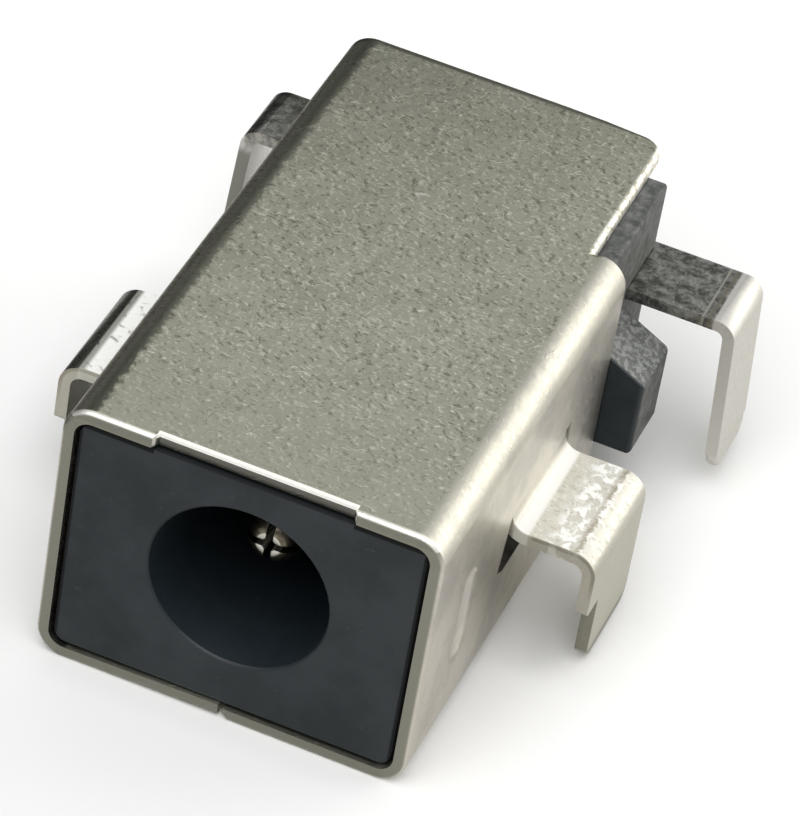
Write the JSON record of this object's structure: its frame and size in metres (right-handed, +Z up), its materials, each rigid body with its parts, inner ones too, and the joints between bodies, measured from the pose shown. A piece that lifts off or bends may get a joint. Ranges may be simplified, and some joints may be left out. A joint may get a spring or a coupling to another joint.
{
  "type": "dc barrel jack",
  "caption": "DC barrel jack for a board cut-out: folded sheet shell around a moulded socket with a slotted centre pin, side legs on the shell and solder terminals at the back.",
  "frame": {"origin": "centre of the socket on the plane of the shell's front edge", "axes": "+Y from the mouth into the jack, +Z up from the shell's base to the tongue side, +X to the right when looking into the mouth"},
  "size_m": [0.0137, 0.0163, 0.007],
  "materials": {
    "plated_shell": "satin tin plating",
    "moulding": "fine matte, charcoal",
    "pin_metal": "satin nickel plating",
    "terminal_metal": "satin tin plating"
  },
  "bodies": {
    "root": {"shell": "plated_shell", "housing": "moulding", "centre_pin": "pin_metal", "pin_terminal": "terminal_metal", "barrel_spring": "terminal_metal"}
  },
  "joints": []
}
